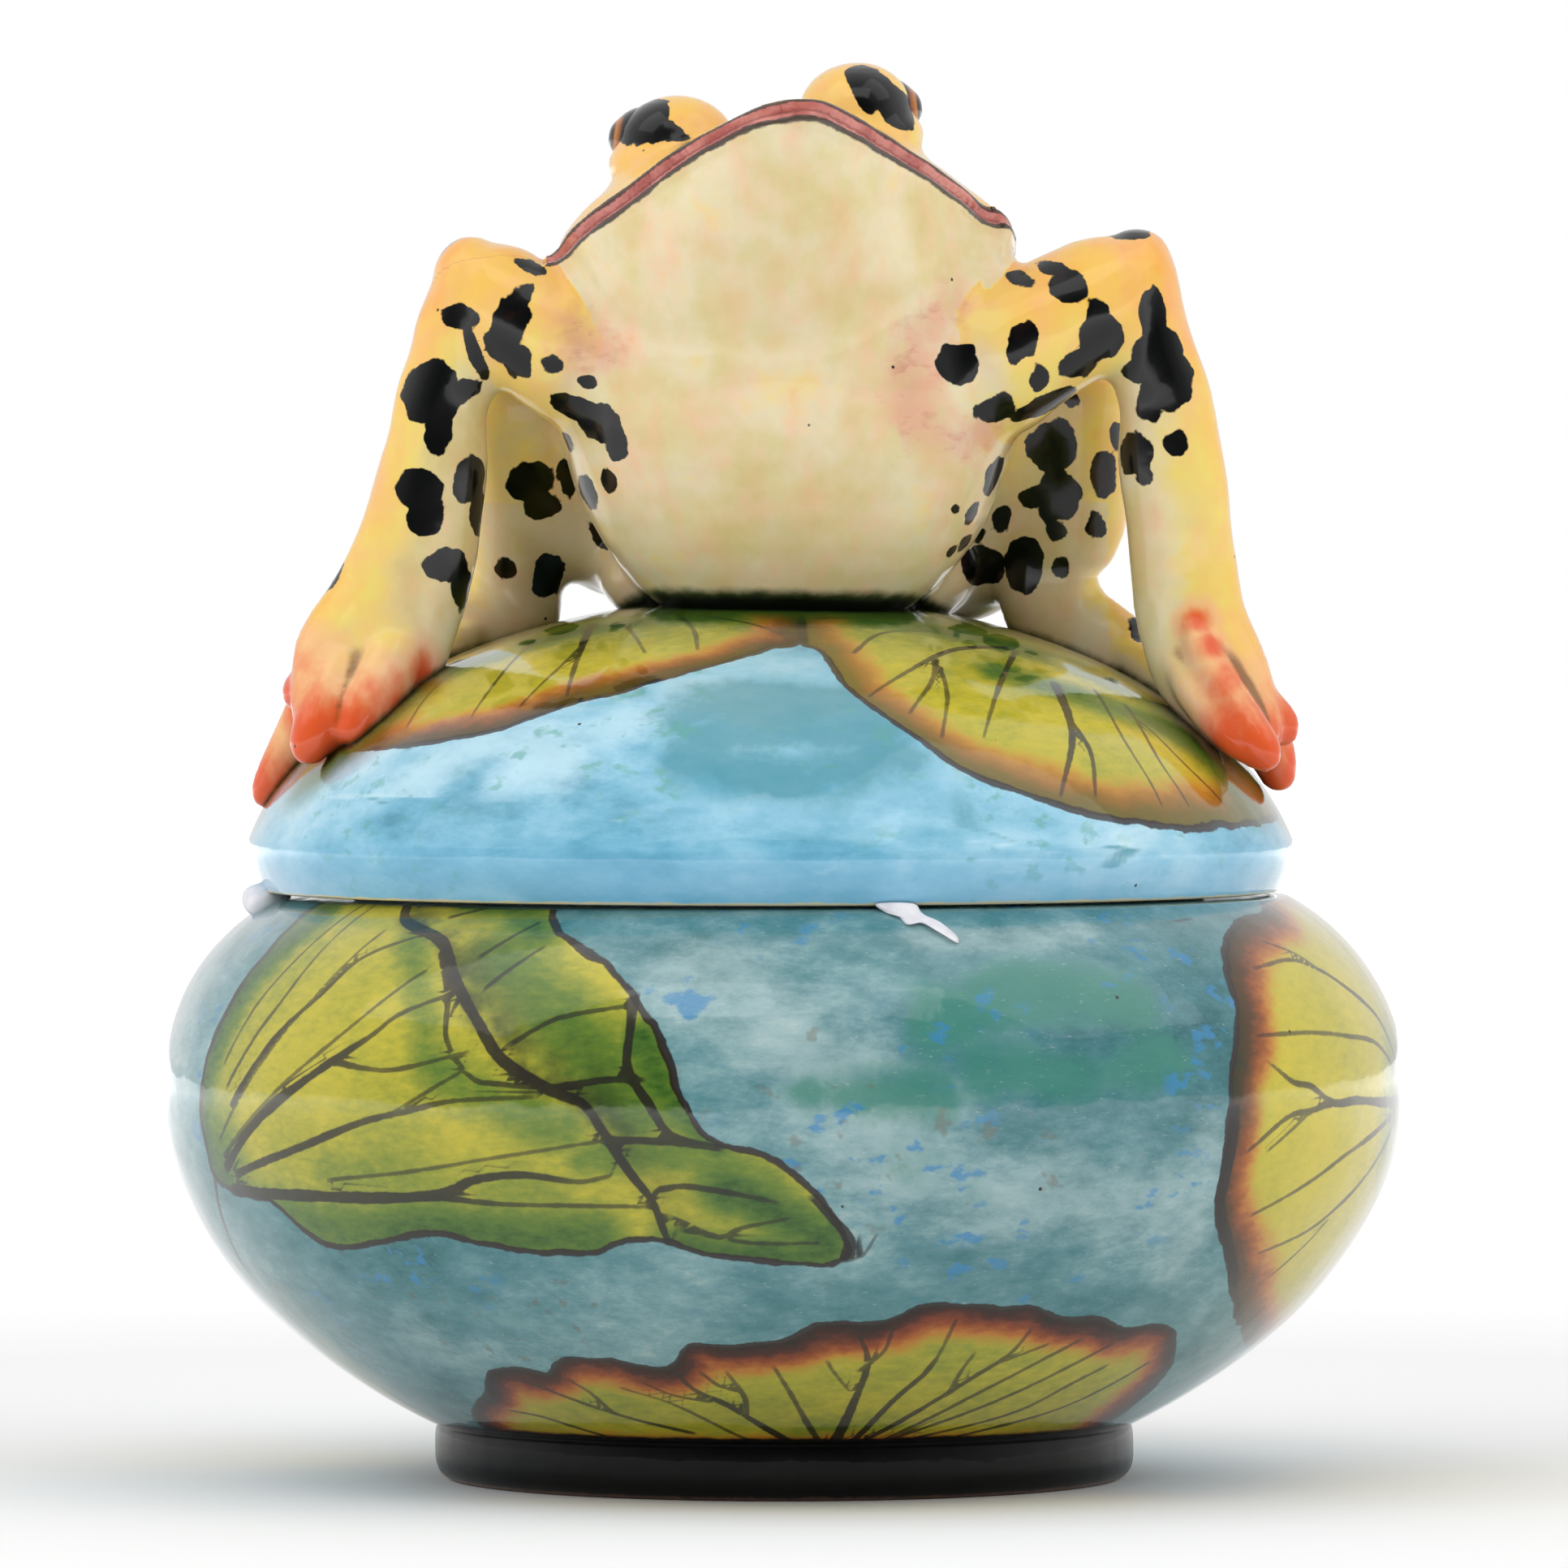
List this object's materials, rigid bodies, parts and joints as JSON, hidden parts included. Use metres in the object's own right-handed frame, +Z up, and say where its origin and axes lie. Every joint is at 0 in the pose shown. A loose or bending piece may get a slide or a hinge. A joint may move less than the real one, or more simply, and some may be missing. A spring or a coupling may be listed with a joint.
{
  "type": "lidded earthenware jar with a frog finial",
  "caption": "Round-bellied glazed earthenware jar on a turned foot, with a loose domed lid whose handle is a seated frog.",
  "frame": {"origin": "centre of the foot ring's resting face, on the jar's axis", "axes": "+Z up along the jar's axis, -Y the way the frog faces, +X to the right of someone who looks at the frog"},
  "size_m": [0.2144, 0.2144, 0.2436],
  "materials": {
    "bowl_glaze": "glossy clear glaze over brushed teal-grey slip with painted leaves",
    "foot_glaze": "glossy black glaze",
    "lid_glaze": "glossy clear glaze over brushed light blue slip with painted leaves",
    "bare_clay": "unglazed cream clay",
    "frog_glaze": "glossy clear glaze over cream, yellow and orange with dark spots",
    "eye_glaze": "glossy dark brown glaze",
    "white_putty": "soft white museum putty"
  },
  "bodies": {
    "jar": {"bowl": "bowl_glaze", "foot_ring": "foot_glaze", "lid_pad_left": "white_putty", "lid_pad_front": "white_putty"},
    "lid": {"lid_dome": "lid_glaze", "lid_flange": "bare_clay", "frog_torso": "frog_glaze", "frog_head": "frog_glaze", "frog_eye_left": "eye_glaze", "frog_eye_right": "eye_glaze", "frog_foreleg_left": "frog_glaze", "frog_foreleg_right": "frog_glaze", "frog_hindleg_left": "frog_glaze", "frog_hindleg_right": "frog_glaze"}
  },
  "joints": [
    {"name": "lid_lift", "type": "slide", "parent": "jar", "child": "lid", "axis": [0, 0, 1], "range_m": [0, 0.12]}
  ]
}
